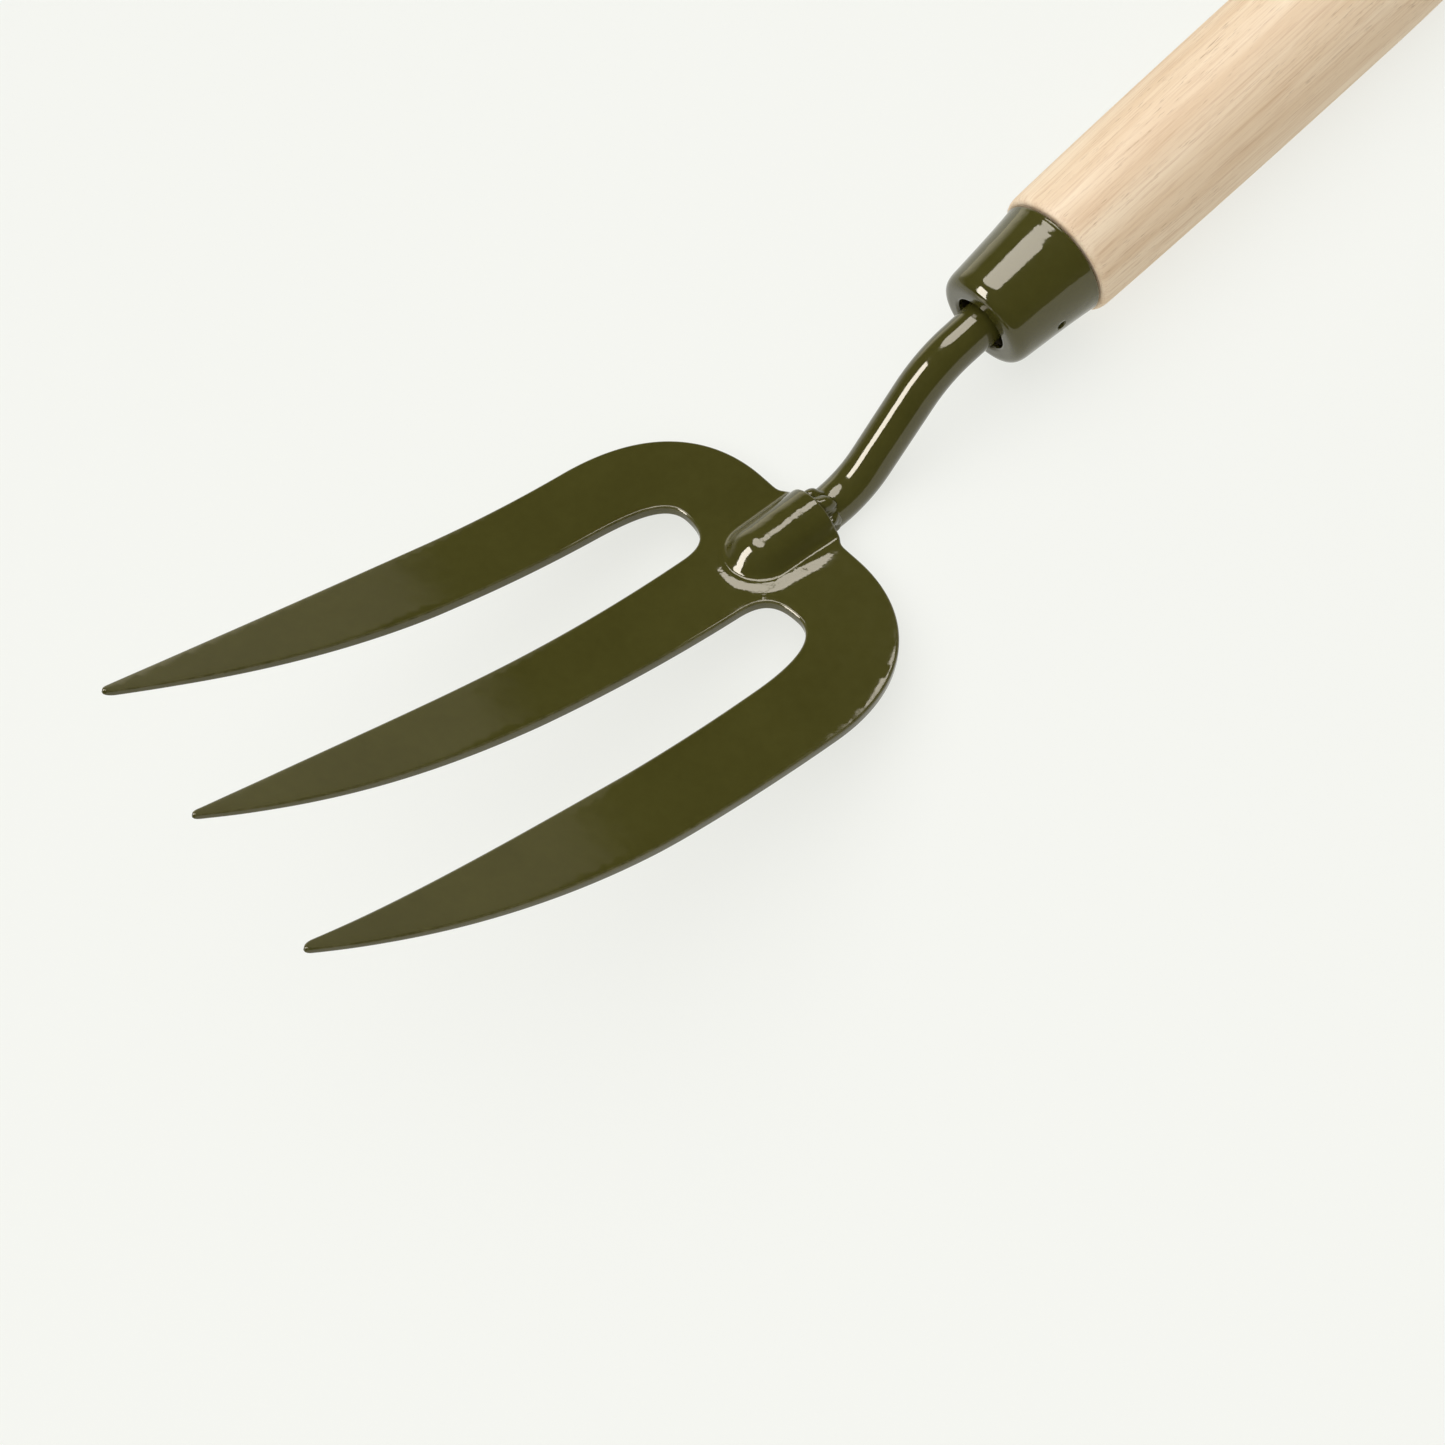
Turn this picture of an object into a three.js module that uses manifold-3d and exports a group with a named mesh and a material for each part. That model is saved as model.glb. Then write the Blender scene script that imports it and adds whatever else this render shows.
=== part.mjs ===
// A gardener's three-tined hand fork: a pressed steel head with a boss that caps the neck, a cranked
// round neck welded under it, a tapered ferrule pinned to a turned wooden handle, and the welds.
// Millimetres, +Z up. The tines point along -Y and the handle along +Y, and both sides of X = 0 are
// alike but for the pin. It lies on its back, hollow side up, its neck and handle touching Z = 0.
import * as THREE from "three";
import { mergeVertices } from "three/addons/utils/BufferGeometryUtils.js";
import Module from "manifold-3d";

const wasm = await Module();
wasm.setup();

// ---- Driving dimensions ----

// Touching pieces keep this much room between them.
const GAP = 0.3;

// Head. Its own frame has X across, -Y towards the tips, and Z = 0 on the flat back of its top face.
const PLATE_THICKNESS = 2.4;
const TIP_THICKNESS = 1.1;
const THINNING_S = 45; // the plate thins evenly from here to the tips
const BEND_START_Y = 26.8; // the plate is flat behind this line and curves up in front of it
const BEND_RADIUS = 232.6; // of the top, hollow face
const BEND_FACETS = 18;

// The flat blank, half of it. S runs from the head's datum to the tips, along the plate.
const HALF_WIDTH = 43.6;
const BACK_S = -28.9;
const SHOULDER_S = 2; // the shoulder's curve ends here
const BOW_S = 37; // a tine's edges are straight up to here and bow in to its tip
const OUTER_TIP_X = 32.9;
const OUTER_TIP_S = 111.9;
const CENTRE_TIP_S = 112.8;
const SLOT_END_S = -10.6;
const SLOT_INNER_X = 8.9; // the slot's two sides, at its closed end
const SLOT_OUTER_X = 25.7;

// Boss: half a pipe round the neck's axis, with a round nose and a flared foot.
const BOSS_RADIUS = 7.25;
const BOSS_NOSE_Y = 15.6; // centre of the round nose
const BOSS_MOUTH_Y = 30.4;
const BOSS_FLARE_ANGLE = THREE.MathUtils.degToRad(32);

// Neck rod, in the head's frame.
const ROD_RADIUS = 4.7;
const ROD_Z = -1.95; // axis of the length under the plate
const FIRST_BEND_Y = 33;
const FIRST_BEND_RADIUS = 20;
const NECK_SLOPE = THREE.MathUtils.degToRad(41);
const NECK_LENGTH = 16.1; // straight, between the two bends
const SECOND_BEND_RADIUS = 25;
const HANDLE_SLOPE = THREE.MathUtils.degToRad(11.1);
const ROD_TO_MOUTH = 27.3; // from the end of the second bend to the ferrule's mouth
const TANG_TAPER_H = 12;
const TANG_END_H = 46;
const TANG_END_RADIUS = 2.2;

// Ferrule and handle, on one axis. H is the distance behind the ferrule's mouth.
const FERRULE_MOUTH_RADIUS = 13.2;
const FERRULE_FLARE_RADIUS = 12.55; // control point of the flare between its end and its mouth
const FERRULE_FLARE_H = -6;
const FERRULE_END_RADIUS = 11.15;
const FERRULE_END_H = -20.8;
const FERRULE_ROUND = 2.8;
const FERRULE_WALL = 1.2;
const FERRULE_HOLE_RADIUS = 6.2;
const HANDLE_SHOULDER_RADIUS = 14.15;
const HANDLE_MAX_RADIUS = 15.1;
const HANDLE_MAX_H = 85;
const BUTT_H = 125;
const BUTT_FLAT_RADIUS = 6;

// Pin, driven in from +X and a little below the middle.
const PIN_H = -9.6;
const PIN_RADIUS = 0.65;
const PIN_OUT = 11.1; // from the axis to its sunken head
const PIN_IN = -7;
const PIN_ANGLE = THREE.MathUtils.degToRad(9);

// Welds.
const TOP_BEAD_HEIGHT = 2;
const TOP_BEAD_LENGTH = 3.4;
const FILLET_LEG = 3.4;
const FILLET_START_Y = 15;
const FILLET_END_Y = 28.4;

const ROUND = 48; // sides of a turned piece

// ---- Helpers ----

function solid(geometry) {
  const bare = geometry.clone();
  bare.deleteAttribute("normal");
  bare.deleteAttribute("uv");
  const merged = mergeVertices(bare, 1e-4);
  return new wasm.Manifold(
    new wasm.Mesh({
      numProp: 3,
      vertProperties: merged.attributes.position.array,
      triVerts: new Uint32Array(merged.index.array),
    }),
  );
}

function geometryOf(body) {
  const made = body.getMesh();
  const geometry = new THREE.BufferGeometry();
  geometry.setAttribute("position", new THREE.BufferAttribute(made.vertProperties, 3));
  geometry.setIndex(new THREE.BufferAttribute(made.triVerts, 1));
  const flat = geometry.toNonIndexed();
  flat.computeVertexNormals();
  return flat;
}

function turned(profile, sides = ROUND) {
  return new THREE.LatheGeometry(profile, sides);
}

// A shape drawn in Y and Z, or in X and Z, pushed out along the third axis between two planes.
function extrudedAlongX(shape, from, to) {
  const geometry = new THREE.ExtrudeGeometry(shape, { depth: to - from, bevelEnabled: false });
  geometry.translate(0, 0, from);
  geometry.rotateZ(Math.PI / 2);
  geometry.rotateY(Math.PI / 2);
  return geometry;
}

function extrudedAlongY(shape, from, to) {
  const geometry = new THREE.ExtrudeGeometry(shape, { depth: to - from, bevelEnabled: false });
  geometry.rotateX(Math.PI / 2);
  geometry.translate(0, to, 0);
  return geometry;
}

function box(low, high) {
  const size = new THREE.Vector3().subVectors(high, low);
  const middle = new THREE.Vector3().addVectors(high, low).multiplyScalar(0.5);
  const geometry = new THREE.BoxGeometry(size.x, size.y, size.z);
  geometry.translate(middle.x, middle.y, middle.z);
  return geometry;
}

function mesh(name, geometry, color, roughness, metalness) {
  const material = new THREE.MeshStandardMaterial({ color, roughness, metalness });
  const made = new THREE.Mesh(geometry, material);
  made.name = name;
  return made;
}

const paint = (name, geometry) => mesh(name, geometry, 0x45432a, 0.32, 0.1);

// ---- Where the handle's axis lies in the head's frame ----

// The neck's centreline as [y, z, slope, radius] stations, from the boss to the tip of the tang.
function neckStations() {
  const stations = [[BOSS_NOSE_Y, ROD_Z, 0, ROD_RADIUS]];
  let y = FIRST_BEND_Y;
  let z = ROD_Z;
  const bend = (radius, from, to, steps) => {
    const side = Math.sign(to - from);
    const centreY = y - side * radius * Math.sin(from);
    const centreZ = z + side * radius * Math.cos(from);
    for (let i = 0; i <= steps; i += 1) {
      const slope = from + ((to - from) * i) / steps;
      y = centreY + side * radius * Math.sin(slope);
      z = centreZ - side * radius * Math.cos(slope);
      stations.push([y, z, slope, ROD_RADIUS]);
    }
  };
  const run = (length, radius) => {
    const slope = stations.at(-1)[2];
    y += length * Math.cos(slope);
    z += length * Math.sin(slope);
    stations.push([y, z, slope, radius]);
  };
  bend(FIRST_BEND_RADIUS, 0, NECK_SLOPE, 14);
  y += NECK_LENGTH * Math.cos(NECK_SLOPE);
  z += NECK_LENGTH * Math.sin(NECK_SLOPE);
  bend(SECOND_BEND_RADIUS, NECK_SLOPE, HANDLE_SLOPE, 10);
  run(ROD_TO_MOUTH, ROD_RADIUS);
  run(TANG_TAPER_H, ROD_RADIUS);
  run(TANG_END_H - TANG_TAPER_H, TANG_END_RADIUS);
  return stations;
}

const STATIONS = neckStations();
const [MOUTH_Y, MOUTH_Z] = STATIONS.at(-3);

// Moves a piece drawn along the handle's axis, with the mouth at zero, into the head's frame.
const ONTO_AXIS = new THREE.Matrix4()
  .makeTranslation(0, MOUTH_Y, MOUTH_Z)
  .multiply(new THREE.Matrix4().makeRotationX(HANDLE_SLOPE));

// ---- Head ----

// Half the blank's outline, from the middle of the back edge round to the middle of the centre tip.
function halfBlank() {
  const path = new THREE.Path();
  path.moveTo(0, BACK_S);
  path.lineTo(15, BACK_S);
  path.bezierCurveTo(31, BACK_S, HALF_WIDTH, -19, HALF_WIDTH, SHOULDER_S);
  path.lineTo(HALF_WIDTH, BOW_S);
  path.bezierCurveTo(HALF_WIDTH, 62, 40, 88, OUTER_TIP_X + 1, OUTER_TIP_S - 1.4);
  path.bezierCurveTo(
    OUTER_TIP_X + 0.6,
    OUTER_TIP_S + 0.4,
    OUTER_TIP_X - 0.8,
    OUTER_TIP_S + 0.2,
    OUTER_TIP_X - 1.1,
    OUTER_TIP_S - 2.3,
  );
  path.bezierCurveTo(30.2, 90, 27.2, 66, SLOT_OUTER_X + 1.1, BOW_S + 3);
  path.lineTo(SLOT_OUTER_X, 6);
  path.bezierCurveTo(SLOT_OUTER_X - 0.5, -5, 23, SLOT_END_S, 17.5, SLOT_END_S);
  path.bezierCurveTo(12, SLOT_END_S, SLOT_INNER_X + 0.3, -9, SLOT_INNER_X, -3);
  path.lineTo(SLOT_INNER_X - 1.3, BOW_S + 7);
  path.bezierCurveTo(7, 66, 6, 86, 1, CENTRE_TIP_S - 2.2);
  path.quadraticCurveTo(0.6, CENTRE_TIP_S, 0, CENTRE_TIP_S);
  return path.getPoints(11);
}

// Where a point of the flat blank lands once the plate is bent, at some depth under its top face.
function bent(s, depth) {
  const along = s + BEND_START_Y;
  const angle = Math.max(0, along) / BEND_RADIUS;
  const radius = BEND_RADIUS + depth;
  const y = BEND_START_Y - Math.min(0, along) - radius * Math.sin(angle);
  return new THREE.Vector2(y, BEND_RADIUS - radius * Math.cos(angle));
}

function thicknessAt(s) {
  const share = (s - THINNING_S) / (CENTRE_TIP_S - THINNING_S);
  return THREE.MathUtils.lerp(PLATE_THICKNESS, TIP_THICKNESS, THREE.MathUtils.clamp(share, 0, 1));
}

// The blank seen from above once it is bent, taken halfway through its thickness.
function planform() {
  const half = halfBlank().map((p) => new THREE.Vector2(p.x, bent(p.y, thicknessAt(p.y) / 2).x));
  const other = half.slice(1, -1).reverse();
  const outline = half.concat(other.map((p) => new THREE.Vector2(-p.x, p.y)));
  const geometry = new THREE.ExtrudeGeometry(new THREE.Shape(outline), {
    depth: 60,
    bevelEnabled: false,
  });
  geometry.translate(0, 0, -10);
  return geometry;
}

// The bent sheet as an endless ribbon, wider than the head.
function ribbon() {
  const top = [new THREE.Vector2(60, 0)];
  const under = [new THREE.Vector2(60, -PLATE_THICKNESS)];
  for (let i = 0; i <= BEND_FACETS; i += 1) {
    const s = ((CENTRE_TIP_S + BEND_START_Y + 4) * i) / BEND_FACETS - BEND_START_Y;
    top.push(bent(s, 0));
    under.push(bent(s, thicknessAt(s)));
  }
  const shape = new THREE.Shape(top.concat(under.reverse()));
  return extrudedAlongX(shape, -60, 60);
}

// The boss's outline as half-width against height above the plate, foot first.
function bossProfile() {
  const fromU = BOSS_RADIUS * Math.cos(BOSS_FLARE_ANGLE);
  const fromZ = ROD_Z + BOSS_RADIUS * Math.sin(BOSS_FLARE_ANGLE);
  const cornerU = fromU + fromZ * Math.tan(BOSS_FLARE_ANGLE);
  const footU = cornerU + fromZ / Math.cos(BOSS_FLARE_ANGLE);
  const path = new THREE.Path();
  path.moveTo(footU, 0);
  path.quadraticCurveTo(cornerU, 0, fromU, fromZ);
  path.absarc(0, ROD_Z, BOSS_RADIUS, BOSS_FLARE_ANGLE, Math.PI / 2, false);
  return [new THREE.Vector2(footU, -1)].concat(path.getPoints(7));
}

function bossBody() {
  const right = bossProfile();
  const left = right.slice(0, -1).reverse();
  const section = right.concat(left.map((p) => new THREE.Vector2(-p.x, p.y)));
  const barrel = extrudedAlongY(new THREE.Shape(section), BOSS_NOSE_Y, BOSS_MOUTH_Y);
  const nose = turned([new THREE.Vector2(0, -1)].concat(right), 40);
  nose.rotateX(Math.PI / 2);
  nose.translate(0, BOSS_NOSE_Y, 0);
  return solid(barrel).add(solid(nose));
}

// The hollow under the boss: a round channel for the neck, open at the back and underneath.
function bossChannel() {
  const radius = ROD_RADIUS + GAP;
  const path = new THREE.Path();
  path.moveTo(0, -radius);
  path.absarc(0, 0, radius, -Math.PI / 2, 0, false);
  path.lineTo(radius, 30);
  path.lineTo(0, 30);
  const channel = turned(path.getPoints(6), 32);
  channel.translate(0, BOSS_NOSE_Y, ROD_Z);
  return solid(channel);
}

function forkHead() {
  const plate = solid(ribbon()).intersect(solid(planform()));
  return paint("fork_head", geometryOf(plate.add(bossBody()).subtract(bossChannel())));
}

// ---- Neck rod ----

// A round bar through the stations, closed by a flat disc at each end.
function sweptBar(stations, sides) {
  const positions = [];
  for (const [y, z, slope, radius] of stations) {
    for (let i = 0; i < sides; i += 1) {
      const turn = (2 * Math.PI * i) / sides;
      const up = radius * Math.cos(turn);
      positions.push(radius * Math.sin(turn), y - up * Math.sin(slope), z + up * Math.cos(slope));
    }
  }
  const first = positions.length / 3;
  positions.push(0, stations[0][0], stations[0][1]);
  positions.push(0, stations.at(-1)[0], stations.at(-1)[1]);
  const faces = [];
  for (let i = 0; i < sides; i += 1) {
    const next = (i + 1) % sides;
    for (let ring = 0; ring < stations.length - 1; ring += 1) {
      const a = ring * sides;
      const b = a + sides;
      faces.push(a + i, b + next, b + i, a + i, a + next, b + next);
    }
    const last = (stations.length - 1) * sides;
    faces.push(first, next, i);
    faces.push(first + 1, last + i, last + next);
  }
  const geometry = new THREE.BufferGeometry();
  geometry.setAttribute("position", new THREE.Float32BufferAttribute(positions, 3));
  geometry.setIndex(faces);
  return geometry;
}

function pinBar(radius, from, to) {
  const bar = new THREE.CylinderGeometry(radius, radius, to - from, 16);
  bar.translate(0, (from + to) / 2, 0);
  bar.rotateZ(-Math.PI / 2);
  bar.rotateY(PIN_ANGLE);
  bar.translate(0, PIN_H, 0);
  return bar.applyMatrix4(ONTO_AXIS);
}

// The hole that the pin is driven down, with a bottom on the far side.
function pinHole() {
  return solid(pinBar(PIN_RADIUS + GAP, PIN_IN - GAP, PIN_OUT + 5));
}

function neckRod() {
  const bar = solid(sweptBar(STATIONS, 28));
  return paint("neck_rod", geometryOf(bar.subtract(pinHole())));
}

// ---- Ferrule, handle and pin ----

function ferrule() {
  const outside = new THREE.Path();
  outside.moveTo(FERRULE_HOLE_RADIUS, FERRULE_END_H + FERRULE_WALL);
  outside.lineTo(FERRULE_HOLE_RADIUS, FERRULE_END_H);
  outside.lineTo(FERRULE_END_RADIUS - FERRULE_ROUND, FERRULE_END_H);
  outside.quadraticCurveTo(
    FERRULE_END_RADIUS,
    FERRULE_END_H,
    FERRULE_END_RADIUS + 0.1,
    FERRULE_END_H + FERRULE_ROUND,
  );
  outside.quadraticCurveTo(FERRULE_FLARE_RADIUS, FERRULE_FLARE_H, FERRULE_MOUTH_RADIUS, 0);
  outside.lineTo(FERRULE_MOUTH_RADIUS - FERRULE_WALL, 0);
  outside.quadraticCurveTo(
    FERRULE_FLARE_RADIUS - FERRULE_WALL,
    FERRULE_FLARE_H,
    FERRULE_END_RADIUS - FERRULE_WALL + 0.1,
    FERRULE_END_H + FERRULE_ROUND,
  );
  outside.lineTo(FERRULE_END_RADIUS - FERRULE_ROUND, FERRULE_END_H + FERRULE_WALL);
  outside.closePath();
  const cup = solid(turned(outside.getPoints(8)).applyMatrix4(ONTO_AXIS));
  return paint("ferrule", geometryOf(cup.subtract(pinHole())));
}

function handle() {
  const tenonEnd = FERRULE_END_H + FERRULE_WALL + GAP;
  const path = new THREE.Path();
  path.moveTo(0, TANG_END_H + GAP);
  path.lineTo(TANG_END_RADIUS + GAP, TANG_END_H + GAP);
  path.lineTo(ROD_RADIUS + GAP, TANG_TAPER_H);
  path.lineTo(ROD_RADIUS + GAP, tenonEnd);
  path.lineTo(FERRULE_END_RADIUS - FERRULE_ROUND - GAP, tenonEnd);
  path.lineTo(FERRULE_END_RADIUS - FERRULE_WALL - GAP, FERRULE_END_H + FERRULE_ROUND);
  path.lineTo(FERRULE_MOUTH_RADIUS - FERRULE_WALL - 2 * GAP, -3);
  path.lineTo(FERRULE_MOUTH_RADIUS - FERRULE_WALL - GAP, GAP);
  path.lineTo(FERRULE_MOUTH_RADIUS - 0.2, GAP);
  path.quadraticCurveTo(HANDLE_SHOULDER_RADIUS, GAP, HANDLE_SHOULDER_RADIUS, 2.2);
  path.bezierCurveTo(14.75, 22, HANDLE_MAX_RADIUS, 55, HANDLE_MAX_RADIUS, HANDLE_MAX_H);
  path.bezierCurveTo(HANDLE_MAX_RADIUS, 95, 14.9, 104, 14.4, 110);
  path.bezierCurveTo(13.6, 119, 10.5, BUTT_H, BUTT_FLAT_RADIUS, BUTT_H);
  path.lineTo(0, BUTT_H);
  const profile = path.getPoints(9);
  const wood = solid(turned(profile).applyMatrix4(ONTO_AXIS));
  const made = mesh("handle", geometryOf(wood.subtract(pinHole())), 0xe0c39a, 0.7, 0);
  return { made, profile };
}

function crossPin() {
  return mesh("cross_pin", pinBar(PIN_RADIUS, PIN_IN, PIN_OUT), 0x3a3a38, 0.5, 0.8);
}

// ---- Welds ----

// A bead over the top half of the neck, just behind the boss's mouth.
function topBead() {
  const inner = ROD_RADIUS + GAP;
  const path = new THREE.Path();
  path.moveTo(inner, 0);
  path.quadraticCurveTo(inner + 1.6 * TOP_BEAD_HEIGHT, 0, inner, TOP_BEAD_LENGTH);
  path.closePath();
  const ring = turned(path.getPoints(10), 40);
  ring.translate(0, BOSS_MOUTH_Y + GAP, ROD_Z);
  const low = new THREE.Vector3(-20, 0, ROD_Z + 0.6);
  const above = box(low, new THREE.Vector3(20, 60, 20));
  return paint("weld_top", geometryOf(solid(ring).intersect(solid(above))));
}

// A fillet in the corner between the plate's underside and the neck, on the side given by its sign.
function sideFillet(name, side) {
  const inner = ROD_RADIUS + GAP;
  const top = -PLATE_THICKNESS - GAP;
  const from = Math.asin((top - ROD_Z) / inner);
  const to = from - FILLET_LEG / inner;
  const shape = new THREE.Shape();
  shape.moveTo(inner * Math.cos(from) + FILLET_LEG, top);
  shape.lineTo(inner * Math.cos(from), top);
  shape.absarc(0, ROD_Z, inner, from, to, true);
  shape.lineTo(inner * Math.cos(from) + 0.7, top - 1.9);
  shape.closePath();
  const bar = extrudedAlongY(shape, FILLET_START_Y, FILLET_END_Y);
  if (side < 0) bar.rotateZ(Math.PI).translate(0, FILLET_START_Y + FILLET_END_Y, 0);
  return paint(name, bar);
}

// ---- Assembly ----

// The turn about X that lays the fork down on its neck's first bend and its handle's lowest point.
function restTurn(profile) {
  const centreFromMouthY = FIRST_BEND_Y - MOUTH_Y;
  const centreFromMouthZ = ROD_Z + FIRST_BEND_RADIUS - MOUTH_Z;
  const ahead = -centreFromMouthY * Math.cos(HANDLE_SLOPE) - centreFromMouthZ * Math.sin(HANDLE_SLOPE);
  const above = centreFromMouthZ * Math.cos(HANDLE_SLOPE) - centreFromMouthY * Math.sin(HANDLE_SLOPE);
  const belly = FIRST_BEND_RADIUS + ROD_RADIUS;
  const turns = profile
    .filter((p) => p.y > 0)
    .map((p) => {
      const rise = above + p.x;
      const run = ahead + p.y;
      return Math.asin(belly / Math.hypot(rise, run)) - Math.atan2(rise, run);
    });
  return Math.min(...turns);
}

const wooden = handle();

const pieces = new THREE.Group();
pieces.name = "pieces";
pieces.add(forkHead());
pieces.add(neckRod());
pieces.add(topBead());
pieces.add(sideFillet("weld_left", -1));
pieces.add(sideFillet("weld_right", 1));
pieces.add(ferrule());
pieces.add(crossPin());
pieces.add(wooden.made);
pieces.rotation.x = -(HANDLE_SLOPE + restTurn(wooden.profile));

const fork = new THREE.Group();
fork.name = "hand_fork";
fork.add(pieces);
const bounds = new THREE.Box3().setFromObject(fork, true);
pieces.position.set(0, -(bounds.min.y + bounds.max.y) / 2, -bounds.min.z);

export default fork;
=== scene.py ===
"""The looks of a three-tined hand fork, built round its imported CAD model.

Lengths are in millimetres until a mesh is made. The head's frame has X across the fork, -Y towards
the tips and Z = 0 on the flat back of its top face. The handle's frame has Y along the handle's axis,
with zero at the mouth of the ferrule. Both are placed in the row frame by the matrices below.
"""

import math

import bmesh
import bpy
import numpy as np
from mathutils import Matrix, Vector, kdtree, noise
from mathutils.geometry import delaunay_2d_cdt


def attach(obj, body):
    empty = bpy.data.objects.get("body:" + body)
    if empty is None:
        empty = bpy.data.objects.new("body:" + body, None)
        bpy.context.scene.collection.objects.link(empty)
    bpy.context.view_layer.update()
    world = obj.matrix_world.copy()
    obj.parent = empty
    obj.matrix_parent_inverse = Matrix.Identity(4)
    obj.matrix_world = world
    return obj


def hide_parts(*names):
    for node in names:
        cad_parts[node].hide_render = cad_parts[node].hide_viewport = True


MM = 0.001

# ---- Camera, in metres ----
CAMERA_AT = (0.17965, -0.10842, 0.32577)
CAMERA_TARGET = (0.02189, -0.08013, 0.01000)
CAMERA_ROLL = math.radians(-34.14)
SENSOR_MM = 36.0
LENS_MM = 44.84

# ---- The head. S runs along the flat blank, towards the tips ----
THICK = 2.4
TIP_THICK = 1.1
THINNING_S = 45.0
EDGE_ROUND = 0.5
TIP_EDGE_LOSS = 0.2
TIP_EDGE_S = 98.0
TIP_EDGE_RUN = 14.0
BEND_START = 26.8
BEND_RADIUS = 232.6
HALF_WIDTH = 43.6
BACK = -28.9
SLOT_END = -10.6
TIP = 112.6

# ---- The boss, and the low skirt round its foot ----
BOSS_RADIUS = 7.25
BOSS_STEEPEST = math.radians(24)
NOSE_Y = 15.6
RIM_Y = 30.4
CHANNEL_RADIUS = 5.0
CHANNEL_STEEPEST = math.radians(14)
CHANNEL_FILLET = 0.8
FOOT_RADIUS = 8.0
FOOT_SPREAD = 1.9
FILLET = 2.4
SKIRT_HEIGHT = 0.37
SKIRT_WIDTH = 2.7
SKIRT_FADE = 9.0

# ---- How closely the head's mesh is made ----
OUTLINE_SPACING = 0.5
GRID_SPACING = 1.6
CLOSE_SPACING = 0.7
CLOSE_ZONE = 12.8
RIM_MARGIN = 0.55
CLOSE_ROWS = [0.9, 1.8, 2.6, 3.3, 3.9, 4.4, 4.8, 5.2, 5.6, 6.0]
CLOSE_ROWS += [6.4, 6.8, 7.2, 7.6, 8.0, 8.5, 9.0, 9.7, 10.6, 11.8]
EDGE_LEVELS = np.radians([90, 70, 50, 30, 12, 0])
INSIDE_BATCH = 1500

# ---- The neck ----
ROD_RADIUS = 4.7
ROD_Z = -1.95
FIRST_BEND_Y = 33.0
FIRST_BEND_RADIUS = 20.0
SECOND_BEND_RADIUS = 25.0
NECK_SLOPE = math.radians(41)
NECK_LENGTH = 16.1
HANDLE_SLOPE = math.radians(11.1)
ROD_TO_MOUTH = 27.3
TANG_TAPER = 12.0
TANG_END = 46.0
TANG_END_RADIUS = 2.2
ROD_SIDES = 72
BEND_STEPS = 16

# ---- The ferrule and handle ----
FERRULE_END = -20.8
HOLE_RADIUS = 6.2
BUTT = 125.0
PIN_H = -9.6
PIN_ANGLE = math.radians(9)
PIN_BORE = 0.95
PIN_HOLE = 1.1
PIN_SINK = 1.45

# ---- Welds ----
TOP_WELD_END = math.radians(108)
TOP_WELD_HEIGHT = 1.9
TOP_WELD_LENGTH = 2.1
PIT_ANGLE = 0.85
PIT_WIDTH = 0.17
SIDE_WELD_SPAN = (14.6, 28.8)
SIDE_WELD_RADIUS = 2.35

# ---- Where the head lies in the row frame ----
REST_TURN = math.radians(12.432)
REST_SHIFT = (0.0, -65.419, 14.177)
HANDLE_TURN = REST_TURN - HANDLE_SLOPE

# ---- The stage ----
FLOOR_RADIUS = 4000
WALL_HEIGHT = 6000
STAGE_SIDES = 64


# ---- Camera ----


def make_camera():
    location = Vector(CAMERA_AT)
    back = (location - Vector(CAMERA_TARGET)).normalized()
    level = Vector((0, 0, 1)).cross(back).normalized()
    above = back.cross(level)
    right = level * math.cos(CAMERA_ROLL) + above * math.sin(CAMERA_ROLL)
    up = back.cross(right)
    data = bpy.data.cameras.new("camera")
    data.sensor_width = SENSOR_MM
    data.lens = LENS_MM
    data.clip_start = 0.01
    camera = bpy.data.objects.new("camera", data)
    bpy.context.scene.collection.objects.link(camera)
    turn = Matrix((right, up, back)).transposed().to_4x4()
    camera.matrix_world = Matrix.Translation(location) @ turn
    bpy.context.scene.camera = camera


make_camera()
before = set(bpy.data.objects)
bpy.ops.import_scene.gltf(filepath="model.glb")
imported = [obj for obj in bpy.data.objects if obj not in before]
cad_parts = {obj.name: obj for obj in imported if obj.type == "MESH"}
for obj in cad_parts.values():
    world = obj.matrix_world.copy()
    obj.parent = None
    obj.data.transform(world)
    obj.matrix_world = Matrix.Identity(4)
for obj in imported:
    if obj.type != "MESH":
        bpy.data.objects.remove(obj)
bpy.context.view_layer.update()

TO_ROW = Matrix.Translation(Vector(REST_SHIFT) * MM) @ Matrix.Rotation(-REST_TURN, 4, "X")


# ---- Curves ----


def bezier(points, count):
    """Points along a Bezier curve of any order, without the first."""
    t = np.linspace(0, 1, count + 1)[1:, None]
    level = [np.asarray(p, float)[None, :] for p in points]
    while len(level) > 1:
        level = [a * (1 - t) + b * t for a, b in zip(level, level[1:])]
    return level[0]


def path(start, *steps):
    """A polyline from a start and steps, each the control points of one Bezier curve."""
    points = [np.asarray(start, float)[None, :]]
    for step in steps:
        count = 2 if len(step) == 1 else 60
        points.append(bezier([points[-1][-1], *step], count))
    return np.concatenate(points)


def resampled(points, spacing):
    """The same open polyline with points at even distances."""
    lengths = np.concatenate([[0], np.cumsum(np.linalg.norm(np.diff(points, axis=0), axis=1))])
    count = max(2, int(round(lengths[-1] / spacing)))
    even = np.linspace(0, lengths[-1], count + 1)
    return np.stack([np.interp(even, lengths, points[:, i]) for i in range(points.shape[1])], 1)


# ---- Objects ----


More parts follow.
